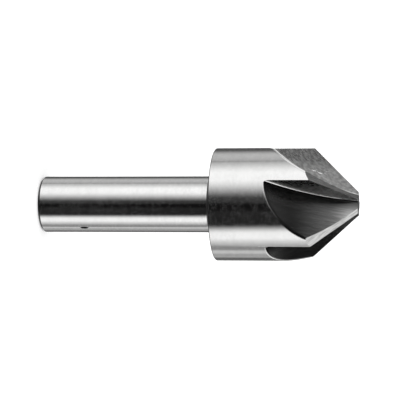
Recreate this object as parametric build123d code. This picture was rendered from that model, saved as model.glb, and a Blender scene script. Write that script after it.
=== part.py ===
from build123d import *
from math import cos, degrees, hypot, radians, sin, sqrt, tan
import os

# A five-flute 90 degree countersink bit with a parallel shank, ground from one bar of tool steel.
# It stands on the end of its shank: Z runs up the tool's axis, the nose is at the top, and the
# origin is the middle of the shank's end face. Sizes are in millimetres, angles in degrees.

# The turned blank.
shank_diameter = 10.0
shank_length = 31.7
shank_end_chamfer = 0.45
shank_root_radius = 1.35
head_diameter = 20.0
head_cylinder_length = 17.45
head_back_chamfer = 0.15
nose_diameter = 4.4
cone_angle = 90.0

# The centre hole in the shank's end, which the tool was held by while it was ground.
centre_hole_mouth = 2.65
centre_hole_bore = 1.25
centre_hole_depth = 2.7
centre_hole_angle = 60.0
drill_point_angle = 118.0

# The flutes, ground by a straight wheel whose flat side leaves the rake face.
flute_count = 5
first_edge_angle = -114.9
flute_run_on_cylinder = 7.75
land_width = 1.47
wheel_radius = 36.0
flute_root_radius = 0.4
flute_rim_radius = 0.6

# The flat relief behind each cutting edge.
relief_angle = 19.5

# The nick in the side of the shank.
nick_length = 2.1
nick_width = 0.64
nick_depth = 0.2
nick_height = 8.15
nick_angle = -33.3

shank_radius = shank_diameter / 2
head_radius = head_diameter / 2
nose_radius = nose_diameter / 2
cone_slope = radians(cone_angle / 2)
cone_start = shank_length + head_cylinder_length
cone_length = (head_radius - nose_radius) / tan(cone_slope)
tool_length = cone_start + cone_length
land_angle = degrees(land_width / head_radius)
flute_angle = 360 / flute_count - land_angle
seam_angle = first_edge_angle + flute_angle / 2


def turned_blank():
    """Shank, head and cone in one turning, with its seam line in the middle of a flute, clear of edges."""
    bore_radius = centre_hole_bore / 2
    mouth_radius = centre_hole_mouth / 2
    bore_start = (mouth_radius - bore_radius) / tan(radians(centre_hole_angle / 2))
    bore_end = centre_hole_depth - bore_radius / tan(radians(drill_point_angle / 2))
    outline = Polyline(
        (0, centre_hole_depth),
        (bore_radius, bore_end),
        (bore_radius, bore_start),
        (mouth_radius, 0),
        (shank_radius - shank_end_chamfer, 0),
        (shank_radius, shank_end_chamfer),
        (shank_radius, shank_length),
        (head_radius - head_back_chamfer, shank_length),
        (head_radius, shank_length + head_back_chamfer),
        (head_radius, cone_start),
        (nose_radius, tool_length),
        (0, tool_length),
        close=True,
    )
    blank = Rot(0, 0, seam_angle) * revolve(Plane.XZ * make_face(outline), Axis.Z)
    rings = blank.edges().filter_by(GeomType.CIRCLE)
    shank_root = rings.filter_by(lambda ring: abs(ring.radius - shank_radius) < 0.01).sort_by(Axis.Z)[-1]
    return fillet(shank_root, shank_root_radius)


def wheel_centre():
    """Radius and height of the wheel's centre. Its rim leaves the cylinder where the flute runs out,
    and where the cone starts it is deep enough to leave a land of the set width."""
    exit_radius = head_radius
    exit_height = cone_start - flute_run_on_cylinder
    deep_radius = head_radius * cos(radians(flute_angle))
    deep_height = cone_start
    chord = hypot(exit_radius - deep_radius, deep_height - exit_height)
    stand_off = sqrt(wheel_radius**2 - (chord / 2) ** 2)
    radius = (exit_radius + deep_radius) / 2 + stand_off * (deep_height - exit_height) / chord
    height = (exit_height + deep_height) / 2 + stand_off * (exit_radius - deep_radius) / chord
    return radius, height


def grinding_wheel():
    """The wheel as it stands in the flute in front of the cutting edge at angle 0."""
    radius, height = wheel_centre()
    flat_side = Plane(origin=(radius, 0, height), x_dir=(1, 0, 0), z_dir=(0, 1, 0))
    width = 1.2 * head_radius
    return flat_side * Cylinder(wheel_radius, width, align=(Align.CENTER, Align.CENTER, Align.MIN))


def flute_root():
    """The steel that the wheel's rounded corner leaves along the root of the flute at angle 0. It is
    a ring about the wheel's axis, and its outside goes a little way into the tool."""
    radius, height = wheel_centre()
    inner_radius = wheel_radius - flute_root_radius
    depth_in_tool = flute_root_radius / 2
    arc_middle = (1 - sqrt(0.5)) * flute_root_radius
    hollow = ThreePointArc(
        (inner_radius, 0),
        (wheel_radius - arc_middle, arc_middle),
        (wheel_radius, flute_root_radius),
    )
    outside = Polyline(
        (wheel_radius, flute_root_radius),
        (wheel_radius + depth_in_tool, flute_root_radius),
        (wheel_radius + depth_in_tool, -depth_in_tool),
        (inner_radius, -depth_in_tool),
        (inner_radius, 0),
    )
    return Pos(radius, 0, height) * revolve(make_face([hollow, outside]), Axis.Y)


def relief_block():
    """What is ground away above the flat relief, which falls off behind the cutting edge at angle 0."""
    edge_middle = ((head_radius + nose_radius) / 2, 0, cone_start + cone_length / 2)
    along_edge = (-sin(cone_slope), 0, cos(cone_slope))
    tilt = radians(relief_angle)
    outward = (cos(cone_slope) * cos(tilt), -sin(tilt), sin(cone_slope) * cos(tilt))
    relief = Plane(origin=edge_middle, x_dir=along_edge, z_dir=outward)
    reach = 3 * head_radius
    return relief * Box(reach, reach, reach, align=(Align.CENTER, Align.CENTER, Align.MIN))


def shank_nick():
    """The slim spindle whose side leaves the nick in the shank."""
    bulge = ThreePointArc((0, -nick_length / 2), (nick_width / 2, 0), (0, nick_length / 2))
    axis_line = Line((0, nick_length / 2), (0, -nick_length / 2))
    spindle = revolve(Plane.XZ * make_face([bulge, axis_line]), Axis.Z)
    distance = shank_radius + nick_width / 2 - nick_depth
    return Rot(0, 0, nick_angle) * Pos(distance, 0, nick_height) * spindle


def countersink_bit():
    """The relieved blank with its flutes, their buffed rims and rounded roots, and the nick."""
    edge_turns = PolarLocations(0, flute_count, start_angle=first_edge_angle).locations
    relieved_blank = turned_blank()
    for turn in edge_turns:
        relieved_blank -= turn * relief_block()
    bit = relieved_blank
    for turn in edge_turns:
        bit -= turn * grinding_wheel()
    flute_rims = bit.edges().filter_by(GeomType.BSPLINE)
    bit = fillet(flute_rims, flute_rim_radius)
    for turn in edge_turns:
        bit += (turn * flute_root()) & relieved_blank
    return bit - shank_nick()


os.makedirs("parts", exist_ok=True)
tool = countersink_bit()
export_step(tool, "parts/countersink_bit.step")
print(f"countersink_bit: {tool.volume:.1f} mm3, {tool_length:.2f} mm long")
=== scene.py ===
import math

import bpy
from mathutils import Matrix, Vector


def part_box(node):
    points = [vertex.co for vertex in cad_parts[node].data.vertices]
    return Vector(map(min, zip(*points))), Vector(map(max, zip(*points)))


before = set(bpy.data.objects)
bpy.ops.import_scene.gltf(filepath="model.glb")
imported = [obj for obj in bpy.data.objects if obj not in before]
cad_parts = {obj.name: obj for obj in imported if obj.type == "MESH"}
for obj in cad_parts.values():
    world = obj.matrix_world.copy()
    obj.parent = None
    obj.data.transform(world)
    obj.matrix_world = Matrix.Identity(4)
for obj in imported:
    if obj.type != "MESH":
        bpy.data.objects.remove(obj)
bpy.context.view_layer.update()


# The countersink bit.
# One piece of tool steel, turned from a bar, hardened, and ground on every working surface. It stays
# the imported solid, and the sections below give each surface the finish that its making left. The
# lengths in the finish are in millimetres, because the marks are so small.
millimetres = 1000
tool = bpy.data.objects["countersink_bit"]
low, high = (Vector(corner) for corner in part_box("countersink_bit"))
tool_length = millimetres * (high.z - low.z)
head_radius = millimetres * (high.x - low.x) / 2
shank_radius = head_radius / 2
shank_length = 31.7
nose_radius = 2.2
cone_slope = math.radians(45)
cone_start = tool_length - (head_radius - nose_radius) / math.tan(cone_slope)

steel = bpy.data.materials.new("tool_steel")
steel.use_nodes = True
steel_tree = steel.node_tree
steel_surface = steel_tree.nodes["Principled BSDF"]
tool.material_slots[0].material = steel


# The places on the tool.
# The five teeth are alike, so a point is told by where it lies from the cutting edge that its flute
# starts at, and from the next edge round, which its relief ends at. Along is the distance out from the
# axis in an edge's own plane, and off is the distance square to that plane.
flute_count = 5
first_edge_angle = -114.9
whole_turn = 360
flute_pitch = whole_turn / flute_count


def add_node(tree, kind, **settings):
    """A node with some of its settings made."""
    node = tree.nodes.new(kind)
    for name, value in settings.items():
        setattr(node, name, value)
    return node


def feed(tree, socket, value):
    """Links a socket to an output, or sets it to a number."""
    if isinstance(value, bpy.types.NodeSocket):
        tree.links.new(value, socket)
    else:
        socket.default_value = value


def work_out(tree, operation, *values):
    """The output of a Math node."""
    node = add_node(tree, "ShaderNodeMath", operation=operation)
    for socket, value in zip(node.inputs, values):
        feed(tree, socket, value)
    return node.outputs["Value"]


def new_group(name, inputs, outputs):
    """An empty shader node group, with its own input and output nodes."""
    group = bpy.data.node_groups.new(name, "ShaderNodeTree")
    for socket_name, kind in inputs.items():
        group.interface.new_socket(socket_name, in_out="INPUT", socket_type=kind)
    for socket_name in outputs:
        group.interface.new_socket(socket_name, in_out="OUTPUT", socket_type="NodeSocketFloat")
    return group, group.nodes.new("NodeGroupInput"), group.nodes.new("NodeGroupOutput")


def place_group(tree, group, **values):
    """The outputs of a group placed in a tree, with its inputs given by name."""
    node = add_node(tree, "ShaderNodeGroup", node_tree=group)
    for name, value in values.items():
        feed(tree, node.inputs[name], value)
    return node.outputs


tooth_places, given, result = new_group(
    "tooth_places",
    {"Position": "NodeSocketVector"},
    (
        "Radius",
        "Height",
        "Across X",
        "Across Y",
        "Along Edge",
        "Off Edge",
        "Along Next",
        "Off Next",
        "Tooth",
        "Edge Number",
    ),
)
in_millimetres = add_node(tooth_places, "ShaderNodeVectorMath", operation="SCALE")
feed(tooth_places, in_millimetres.inputs["Vector"], given.outputs["Position"])
feed(tooth_places, in_millimetres.inputs["Scale"], millimetres)
split = add_node(tooth_places, "ShaderNodeSeparateXYZ")
feed(tooth_places, split.inputs["Vector"], in_millimetres.outputs["Vector"])
x, y, z = split.outputs
squares = work_out(tooth_places, "MULTIPLY_ADD", x, x, work_out(tooth_places, "MULTIPLY", y, y))
radius = work_out(tooth_places, "SQRT", squares)
angle = work_out(tooth_places, "DEGREES", work_out(tooth_places, "ARCTAN2", y, x))

# A whole turn is added so that the angle is never negative, which makes the first edge number 5.
from_first = work_out(tooth_places, "ADD", angle, whole_turn - first_edge_angle)
past_edge = work_out(tooth_places, "MODULO", from_first, flute_pitch)
past_next = work_out(tooth_places, "SUBTRACT", past_edge, flute_pitch)
pitches = work_out(tooth_places, "DIVIDE", from_first, flute_pitch)
places = {
    "Radius": radius,
    "Height": z,
    "Across X": x,
    "Across Y": y,
    "Tooth": work_out(tooth_places, "FLOOR", pitches),
    "Edge Number": work_out(tooth_places, "ROUND", pitches),
}
for edge_name, degrees_past in (("Edge", past_edge), ("Next", past_next)):
    turned_by = work_out(tooth_places, "RADIANS", degrees_past)
    cosine = work_out(tooth_places, "COSINE", turned_by)
    sine = work_out(tooth_places, "SINE", turned_by)
    places["Along " + edge_name] = work_out(tooth_places, "MULTIPLY", radius, cosine)
    places["Off " + edge_name] = work_out(tooth_places, "MULTIPLY", radius, sine)
for name, value in places.items():
    feed(tooth_places, result.inputs[name], value)

coordinates = add_node(steel_tree, "ShaderNodeTexCoord")
place = place_group(steel_tree, tooth_places, Position=coordinates.outputs["Object"])


# The kinds of surface.
# Each is found by its shape: the cylinders by their radius, a rake face by lying in the plane of its
# cutting edge, a back wall by the circle that the wheel's rim ran on, a land by its relief plane. The
# buffed rims and the roots of the flutes are left over, and count as rounded, with the nose's end.
surface_reach = 0.03
flute_reach = 9.0
wheel_radius = 36.0
wheel_centre_along = 36.24
wheel_centre_height = 66.05
relief_tilt = math.radians(19.5)
head_back_chamfer = 0.15


def product(tree, *values):
    """The values multiplied together."""
    answer = values[0]
    for value in values[1:]:
        answer = work_out(tree, "MULTIPLY", answer, value)
    return answer


near_head = work_out(steel_tree, "COMPARE", place["Radius"], head_radius, surface_reach)
near_shank = work_out(steel_tree, "COMPARE", place["Radius"], shank_radius, surface_reach)
below_head = work_out(steel_tree, "LESS_THAN", place["Height"], shank_length)
on_shank = product(steel_tree, near_shank, below_head)
on_cylinder = work_out(steel_tree, "MAXIMUM", near_head, on_shank)
off_cylinder = work_out(steel_tree, "SUBTRACT", 1, on_cylinder)

above_run_out = work_out(steel_tree, "GREATER_THAN", place["Height"], cone_start - flute_reach)
off_edge = work_out(steel_tree, "ABSOLUTE", place["Off Edge"])
off_next = work_out(steel_tree, "ABSOLUTE", place["Off Next"])
off_nearest = work_out(steel_tree, "MINIMUM", off_edge, off_next)
in_edge_plane = work_out(steel_tree, "LESS_THAN", off_nearest, surface_reach)
on_rake = product(steel_tree, in_edge_plane, above_run_out)

wheel_along = work_out(steel_tree, "SUBTRACT", place["Along Edge"], wheel_centre_along)
wheel_up = work_out(steel_tree, "SUBTRACT", place["Height"], wheel_centre_height)
up_square = product(steel_tree, wheel_up, wheel_up)
wheel_squares = work_out(steel_tree, "MULTIPLY_ADD", wheel_along, wheel_along, up_square)
from_wheel = work_out(steel_tree, "SQRT", wheel_squares)
near_wheel_rim = work_out(steel_tree, "COMPARE", from_wheel, wheel_radius, 2 * surface_reach)
on_back_wall = product(steel_tree, near_wheel_rim, above_run_out, off_cylinder)

# How far a point is above the flat relief that ends at the next edge, by the relief's outward direction.
edge_middle_radius = (head_radius + nose_radius) / 2
edge_middle_height = (cone_start + tool_length) / 2
outward_along = math.cos(cone_slope) * math.cos(relief_tilt)
outward_off = -math.sin(relief_tilt)
outward_up = math.sin(cone_slope) * math.cos(relief_tilt)
beyond_edge = work_out(steel_tree, "SUBTRACT", place["Along Next"], edge_middle_radius)
above_middle = work_out(steel_tree, "SUBTRACT", place["Height"], edge_middle_height)
above_relief = work_out(steel_tree, "MULTIPLY", beyond_edge, outward_along)
above_relief = work_out(steel_tree, "MULTIPLY_ADD", place["Off Next"], outward_off, above_relief)
above_relief = work_out(steel_tree, "MULTIPLY_ADD", above_middle, outward_up, above_relief)
on_relief = work_out(steel_tree, "COMPARE", above_relief, 0, surface_reach)

# The shank's end, its centre hole, its root and the head's back were turned, and never ground. They are
# coloured dark as painted shade, which reaches over the head's back chamfer, and the nick is darkened
# with them.
back_edge_height = shank_length + head_back_chamfer
below_back_edge = work_out(steel_tree, "LESS_THAN", place["Height"], back_edge_height)
on_turned_shaded = product(steel_tree, below_back_edge, off_cylinder)

masks = {
    "cylinder": on_cylinder,
    "rake": on_rake,
    "back_wall": on_back_wall,
    "relief": on_relief,
    "turned": on_turned_shaded,
}


def blend(tree, share, first, second):
    """The first value where the share is 0 and the second where it is 1."""
    node = add_node(tree, "ShaderNodeMix", data_type="FLOAT")
    feed(tree, node.inputs["Factor"], share)
    feed(tree, node.inputs["A"], first)
    feed(tree, node.inputs["B"], second)
    return node.outputs["Result"]


def by_surface(rounded, **values):
    """The value for the kind of surface at a point, or the rounded one's for a kind that isn't given."""
    answer = rounded
    for kind, value in values.items():
        answer = blend(steel_tree, masks[kind], answer, value)
    return answer


# The grinding marks.
# The wheel left rings round the cylinders, long scratches up the back walls, arcs about its own centre
# on the rake faces and strokes along the lands. One pattern serves all of them. It is fine across the
# marks and drawn out along them, and it differs from tooth to tooth.
mark_spacing = 0.32
mark_run = 2.2
tooth_step = 7.3
lowest_noise = 0.33
highest_noise = 0.67
ring_shortness = 2.8
arc_shortness = 3.5
scratch_closeness = 1.8
stroke_closeness = 1.5


def fade(tree, value, from_value, to_value):
    """0 at from_value, 1 at to_value and smooth between, whichever is larger."""
    node = add_node(tree, "ShaderNodeMapRange", interpolation_type="SMOOTHSTEP")
    feed(tree, node.inputs["Value"], value)
    feed(tree, node.inputs["From Min"], from_value)
    feed(tree, node.inputs["From Max"], to_value)
    return node.outputs["Result"]


mark_sizes = {"Across": mark_spacing, "Along": mark_run, "Aside": mark_run}
grinding_marks, given, result = new_group(
    "grinding_marks", dict.fromkeys(mark_sizes, "NodeSocketFloat"), ("Fine", "Broad")
)
for mark_name, coarseness, detail in (("Fine", 1.0, 2.0), ("Broad", 4.0, 3.0)):
    where = add_node(grinding_marks, "ShaderNodeCombineXYZ")
    for socket, (way, size) in zip(where.inputs, mark_sizes.items()):
        steps = work_out(grinding_marks, "DIVIDE", given.outputs[way], coarseness * size)
        feed(grinding_marks, socket, steps)
    noise = add_node(grinding_marks, "ShaderNodeTexNoise")
    feed(grinding_marks, noise.inputs["Vector"], where.outputs["Vector"])
    feed(grinding_marks, noise.inputs["Scale"], 1.0)
    feed(grinding_marks, noise.inputs["Detail"], detail)
    spread_out = fade(grinding_marks, noise.outputs["Fac"], lowest_noise, highest_noise)
    centred = work_out(grinding_marks, "SUBTRACT", spread_out, 0.5)
    feed(grinding_marks, result.inputs[mark_name], work_out(grinding_marks, "MULTIPLY", centred, 2))

along_land = work_out(steel_tree, "SUBTRACT", place["Height"], place["Along Next"])
tooth_seed = work_out(steel_tree, "MULTIPLY", place["Tooth"], tooth_step)
edge_seed = work_out(steel_tree, "MULTIPLY", place["Edge Number"], tooth_step)
across = by_surface(
    rounded=place["Height"],
    rake=from_wheel,
    back_wall=work_out(steel_tree, "MULTIPLY", place["Off Edge"], scratch_closeness),
    relief=work_out(steel_tree, "MULTIPLY", place["Off Next"], stroke_closeness),
)
along = by_surface(
    rounded=work_out(steel_tree, "MULTIPLY", place["Across X"], ring_shortness),
    rake=work_out(steel_tree, "MULTIPLY", place["Height"], arc_shortness),
    back_wall=place["Height"],
    relief=along_land,
)
aside = by_surface(
    rounded=work_out(steel_tree, "MULTIPLY", place["Across Y"], ring_shortness),
    rake=edge_seed,
    back_wall=tooth_seed,
    relief=tooth_seed,
)
marks = place_group(steel_tree, grinding_marks, Across=across, Along=along, Aside=aside)


# The nick.
# A short dash knocked into the side of the shank, nearer its end than the head. It is darkest at its
# bottom, where painted shade darkens the dent.
nick_height = 8.15
nick_length = 2.1
nick_lip_depth = 0.02
nick_shade_depth = 0.08
nick_shade = 0.2

near_nick = work_out(steel_tree, "COMPARE", place["Height"], nick_height, nick_length / 2)
lip_radius = shank_radius - nick_lip_depth
nick_shade_radius = shank_radius - nick_shade_depth
in_nick = product(steel_tree, near_nick, fade(steel_tree, place["Radius"], lip_radius, nick_shade_radius))
# Painted shade: the colour is darkened towards the bottom of the dent.
nick_lightness = blend(steel_tree, in_nick, 1, nick_shade)


# The finish of the steel.
# The cylinders and the buffed rims are bright. The rake faces are the dullest and palest, most of all
# towards the axis, and the turned surfaces are dull and coloured dark as painted shade. Each mark is a
# little rougher and lighter than the steel round it, or a little smoother and darker.
steel_colour = (0.68, 0.68, 0.675)
most_lightness = 1.45
rake_rim_radius = head_radius - 1
rake_rim_roughness = 0.27
rake_rim_lightness = 1.15
rake_middle_radius = head_radius / 2
rake_middle_roughness = 0.43
rake_middle_lightness = 1.28
root_width = 0.6
root_lightness = 1.25
root_shade_start = 0.5
root_shade_end = 3.2
root_shade_lightness = 0.15

near_axis = fade(steel_tree, place["Radius"], rake_rim_radius, rake_middle_radius)
rake_roughness = blend(steel_tree, near_axis, rake_rim_roughness, rake_middle_roughness)
plain_roughness = by_surface(
    rounded=0.10, cylinder=0.10, rake=rake_roughness, back_wall=0.16, relief=0.16, turned=0.3
)
roughness_swing = by_surface(rounded=0.0, cylinder=0.3, rake=0.12, back_wall=0.08, relief=0.15)
rougher = work_out(steel_tree, "MULTIPLY_ADD", marks["Fine"], roughness_swing, 1)
feed(steel_tree, steel_surface.inputs["Roughness"], product(steel_tree, plain_roughness, rougher))

# The end of each root by the nose gets painted shade, and so does each back wall beside its root, where
# the flute's corner is in shade.
in_root = work_out(steel_tree, "LESS_THAN", place["Off Edge"], root_width)
by_nose = fade(steel_tree, place["Height"], tool_length - 2 * nose_radius, tool_length - nose_radius)
root_end = product(steel_tree, in_root, by_nose)
rounded_lightness = blend(steel_tree, root_end, root_lightness, root_shade_lightness)
past_root_shade = fade(steel_tree, place["Off Edge"], root_shade_start, root_shade_end)
wall_lightness = blend(steel_tree, past_root_shade, root_shade_lightness, 1)

rake_lightness = blend(steel_tree, near_axis, rake_rim_lightness, rake_middle_lightness)
# The turned surfaces' dark lightness is painted shade at the root, the head's back and the shank's end.
plain_lightness = by_surface(
    rounded=rounded_lightness, cylinder=1.05, rake=rake_lightness, back_wall=1, relief=1, turned=0.14
)
fine_swing = by_surface(rounded=0.0, cylinder=0.03, rake=0.18, back_wall=0.09, relief=0.16)
broad_swing = by_surface(rounded=0.0, cylinder=0.02, rake=0.06, back_wall=0.06, relief=0.06)
lightness = work_out(steel_tree, "MULTIPLY_ADD", marks["Fine"], fine_swing, plain_lightness)
lightness = work_out(steel_tree, "MULTIPLY_ADD", marks["Broad"], broad_swing, lightness)
lightness = product(steel_tree, lightness, by_surface(rounded=1, back_wall=wall_lightness))
lightness = work_out(steel_tree, "MINIMUM", lightness, most_lightness)
lightness = product(steel_tree, lightness, nick_lightness)
tint = add_node(steel_tree, "ShaderNodeVectorMath", operation="SCALE")
tint.inputs["Vector"].default_value = steel_colour
feed(steel_tree, tint.inputs["Scale"], lightness)
feed(steel_tree, steel_surface.inputs["Base Color"], tint.outputs["Vector"])

# Scratches too fine to see, and what handling left in them, put a faint uneven haze on the cylinders. It
# is thinned beside the head as painted shade, where the head shades the shank.
full_haze = 0.015
haze_in_head_shade = 0.002
fine_unevenness = 1.2
broad_unevenness = 0.5

from_head = fade(steel_tree, place["Height"], shank_length, shank_length / 2)
shank_haze = blend(steel_tree, from_head, haze_in_head_shade, full_haze)
haze = blend(steel_tree, near_head, shank_haze, full_haze)
uneven = work_out(steel_tree, "MULTIPLY_ADD", marks["Fine"], fine_unevenness, 1)
uneven = work_out(steel_tree, "MULTIPLY_ADD", marks["Broad"], broad_unevenness, uneven)
uneven = work_out(steel_tree, "MAXIMUM", uneven, 0)
haze = product(steel_tree, haze, uneven, on_cylinder)
bare_metal = work_out(steel_tree, "SUBTRACT", 1, haze)
feed(steel_tree, steel_surface.inputs["Metallic"], bare_metal)


# The scuff.
# A shallow scratch shaped like a tick on one rake face, where something hard slid over it. It skips
# where the grinding marks are low. Each stroke is given by the height and the distance from the axis of
# its two ends.
scuffed_edge = 9
scuff_width = 0.2
scuff_depth = 0.045
skipped_mark = -0.9
struck_mark = 0.5
scuff_strokes = (
    ((48.4, 6.3), (50.4, 5.55)),
    ((50.4, 5.55), (51.5, 5.9)),
)

scuff = 0
for (start_height, start_radius), (end_height, end_radius) in scuff_strokes:
    run = math.hypot(end_height - start_height, end_radius - start_radius)
    up = (end_height - start_height) / run
    out = (end_radius - start_radius) / run
    rise = work_out(steel_tree, "SUBTRACT", place["Height"], start_height)
    spread = work_out(steel_tree, "SUBTRACT", place["Radius"], start_radius)
    spread_along = work_out(steel_tree, "MULTIPLY", spread, out)
    spread_beside = work_out(steel_tree, "MULTIPLY", spread, up)
    along_stroke = work_out(steel_tree, "MULTIPLY_ADD", rise, up, spread_along)
    beside_stroke = work_out(steel_tree, "MULTIPLY_ADD", rise, -out, spread_beside)
    in_length = work_out(steel_tree, "COMPARE", along_stroke, run / 2, run / 2)
    in_width = fade(steel_tree, work_out(steel_tree, "ABSOLUTE", beside_stroke), scuff_width, 0)
    stroke = product(steel_tree, in_length, in_width)
    scuff = work_out(steel_tree, "MAXIMUM", scuff, stroke)
on_scuffed_face = work_out(steel_tree, "COMPARE", place["Edge Number"], scuffed_edge, 0.5)
struck = fade(steel_tree, marks["Fine"], skipped_mark, struck_mark)
scuff = product(steel_tree, scuff, on_rake, on_scuffed_face, struck)
scuff_bump = add_node(steel_tree, "ShaderNodeBump", invert=True)
scuff_bump.inputs["Distance"].default_value = scuff_depth / millimetres
feed(steel_tree, scuff_bump.inputs["Height"], scuff)
feed(steel_tree, steel_surface.inputs["Normal"], scuff_bump.outputs["Normal"])


# The floor.
# A plain pale sheet that the tool stands on, lit by a wide lamp above that gives the tool its soft
# shadow. Neither is part of the tool, and the steel doesn't show them.
floor_size = 6
floor_colour = (0.8, 0.8, 0.8, 1)
floor_roughness = 0.9
floor_glow = 0.45
white_light = (1, 1, 1, 1)
lamp_height = 0.6
lamp_spread = math.radians(70)
lamp_strength = 2.6

bpy.ops.mesh.primitive_plane_add(size=floor_size, location=(0, 0, 0))
floor = bpy.context.object
floor.name = "floor"
floor_paint = bpy.data.materials.new("floor_paint")
floor_paint.use_nodes = True
floor_tree = floor_paint.node_tree
floor_surface = floor_tree.nodes["Principled BSDF"]
floor_surface.inputs["Base Color"].default_value = floor_colour
floor_surface.inputs["Roughness"].default_value = floor_roughness
floor_surface.inputs["Emission Color"].default_value = white_light
floor_seen = add_node(floor_tree, "ShaderNodeLightPath")
glow = work_out(floor_tree, "MULTIPLY", floor_seen.outputs["Is Camera Ray"], floor_glow)
feed(floor_tree, floor_surface.inputs["Emission Strength"], glow)
floor.data.materials.append(floor_paint)
floor.visible_glossy = False

lamp_data = bpy.data.lights.new("floor_lamp", "SUN")
lamp_data.angle = lamp_spread
lamp_data.energy = lamp_strength
floor_lamp = bpy.data.objects.new("floor_lamp", lamp_data)
floor_lamp.location = (0, 0, lamp_height)
floor_lamp.visible_glossy = False
bpy.context.scene.collection.objects.link(floor_lamp)


# The studio round the tool.
# Large lit sheets hang round it with black gaps between, and the steel shows them as bands along its
# length. More sheets and a pale ground light its back and its top. The camera itself sees plain white.
room_light = 0.004

# Each sheet's first four numbers are degrees round the tool: where its light starts, is full, stops
# being full and ends. They are 0 on the camera's side, and positive on the side that the main view has
# at the top. The next four are the same in degrees of height, and the last is its brightness. The gap
# in the key sheet is a dark strip, so its brightness is taken away.
sheet_numbers = (
    "Start",
    "Start Full",
    "End Full",
    "End",
    "Bottom",
    "Bottom Full",
    "Top Full",
    "Top",
    "Brightness",
)
sheets = {
    "key": (10, 54, 62, 103, -60, -45, 12, 34, 1.27),
    "key_top": (20, 50, 80, 110, 6, 24, 24, 56, 0.2),
    "high_right": (60, 72, 95, 120, 48, 56, 66, 80, 0.035),
    "key_back": (55, 116, 120, 148, -60, -45, 15, 52, 0.62),
    "key_gap": (94, 97, 98, 101, -60, -45, -2, 4, -0.14),
    "rim_light": (70, 95, 150, 175, -5, 4, 10, 28, 0.5),
    "front_upper": (-2, 8, 20, 40, -60, -45, 10, 34, 0.040),
    "front_gap": (-40, -5, 8, 30, -60, -45, -4, 10, 0.004),
    "front_lower": (-47, -42, -17, -5, -60, -45, 4, 14, 0.016),
    "rim_front": (-2, 4, 25, 45, 8, 16, 30, 38, 0.10),
    "fill": (-99, -71, -63, -41, -60, -45, 6, 26, 1.22),
    "fill_top": (-92, -74, -68, -46, 12, 32, 42, 60, 1.22),
    "dim_back": (-146, -138, -92, -78, -60, -45, 0, 14, 0.32),
    "fill_back": (-127, -116, -112, -104, -60, -45, 0, 14, 0.38),
    "far_back": (-144, -137, -128, -118, -60, -45, 0, 14, 0.12),
    "low_rim_light": (-150, -125, -104, -92, -6, 3, 8, 20, 0.6),
    "back_tall": (-160, -140, -128, -116, 0, 14, 20, 50, 0.4),
    "back_upper": (120, 150, 180, 181, -60, -45, 0, 14, 0.10),
    "back_lower": (-181, -180, -150, -138, -60, -45, 0, 14, 0.16),
    "back_high_upper": (146, 162, 180, 181, 38, 52, 90, 91, 0.45),
    "back_high_lower": (-181, -180, -150, -130, 38, 52, 90, 91, 0.45),
    "pale_ground": (-182, -181, 181, 182, -68, -58, -52, -36, 0.6),
    "overhead": (-110, -90, -75, -50, 50, 62, 90, 91, 0.88),
}

lit_sheet, given, result = new_group(
    "lit_sheet",
    dict.fromkeys(("Azimuth", "Elevation") + sheet_numbers, "NodeSocketFloat"),
    ("Light",),
)
light = given.outputs["Brightness"]
for angle_name, limit, full_limit in (
    ("Azimuth", "Start", "Start Full"),
    ("Azimuth", "End", "End Full"),
    ("Elevation", "Bottom", "Bottom Full"),
    ("Elevation", "Top", "Top Full"),
):
    within = fade(lit_sheet, given.outputs[angle_name], given.outputs[limit], given.outputs[full_limit])
    light = work_out(lit_sheet, "MULTIPLY", light, within)
feed(lit_sheet, result.inputs["Light"], light)

studio = bpy.data.worlds.new("studio")
bpy.context.scene.world = studio
studio.use_nodes = True
studio_tree = studio.node_tree
studio_tree.nodes.clear()
looked_along = add_node(studio_tree, "ShaderNodeTexCoord")
direction = add_node(studio_tree, "ShaderNodeSeparateXYZ")
feed(studio_tree, direction.inputs[0], looked_along.outputs["Generated"])
to_right, to_back, to_top = direction.outputs
to_left = work_out(studio_tree, "MULTIPLY", to_right, -1)
to_camera = work_out(studio_tree, "MULTIPLY", to_back, -1)
azimuth = work_out(studio_tree, "DEGREES", work_out(studio_tree, "ARCTAN2", to_left, to_camera))
elevation = work_out(studio_tree, "DEGREES", work_out(studio_tree, "ARCSINE", to_top))

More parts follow.
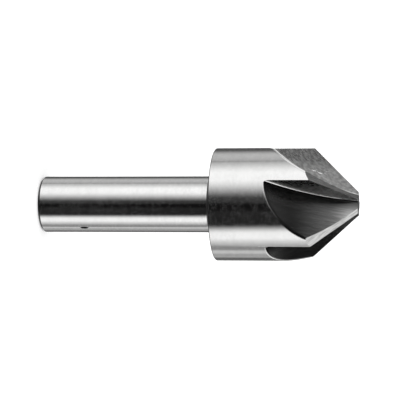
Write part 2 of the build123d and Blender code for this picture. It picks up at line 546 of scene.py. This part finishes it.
total = room_light
for numbers in sheets.values():
    values = dict(zip(sheet_numbers, numbers), Azimuth=azimuth, Elevation=elevation)
    sheet = place_group(studio_tree, lit_sheet, **values)
    total = work_out(studio_tree, "ADD", total, sheet["Light"])

room_seen = add_node(studio_tree, "ShaderNodeLightPath")
lit_room = add_node(studio_tree, "ShaderNodeBackground")
lit_room.inputs["Color"].default_value = white_light
feed(studio_tree, lit_room.inputs["Strength"], total)
white = add_node(studio_tree, "ShaderNodeBackground")
white.inputs["Color"].default_value = white_light
choice = add_node(studio_tree, "ShaderNodeMixShader")
feed(studio_tree, choice.inputs[0], room_seen.outputs["Is Camera Ray"])
feed(studio_tree, choice.inputs[1], lit_room.outputs[0])
feed(studio_tree, choice.inputs[2], white.outputs[0])
world_output = add_node(studio_tree, "ShaderNodeOutputWorld")
feed(studio_tree, world_output.inputs["Surface"], choice.outputs[0])


# The camera.
# It looks down on the tool a little from in front of its nose, and lies on its side, so that the tool
# crosses the picture from the shank's end at the left to the nose at the right. A point just below the
# tool's middle comes at the given pixel. The lengths are in metres, but the sensor's is in millimetres.
view_distance = 0.330
view_drop = math.radians(10.06)
image_width = 400
pixels_per_metre = 5604.0
sensor_width = 36
nearest_seen = 0.01
below_middle = 0.000125
middle_right = 198.34
middle_down = 204.33

picture_right = Vector((0, math.sin(view_drop), math.cos(view_drop)))
picture_up = Vector((-1, 0, 0))
looking = Vector((0, math.cos(view_drop), -math.sin(view_drop)))
right_shift = (middle_right - image_width / 2) / pixels_per_metre
down_shift = (middle_down - image_width / 2) / pixels_per_metre
camera_data = bpy.data.cameras.new("camera")
camera_data.sensor_width = sensor_width
camera_data.lens = sensor_width * pixels_per_metre * view_distance / image_width
camera_data.clip_start = nearest_seen
camera = bpy.data.objects.new("camera", camera_data)
bpy.context.scene.collection.objects.link(camera)
camera_turn = Matrix((picture_right, picture_up, -looking)).transposed()
middle = Vector((0, 0, tool_length / 2 / millimetres - below_middle))
position = middle - picture_right * right_shift + picture_up * down_shift - looking * view_distance
camera.matrix_world = Matrix.Translation(position) @ camera_turn.to_4x4()
bpy.context.scene.camera = camera

bpy.context.scene.view_settings.view_transform = "Standard"
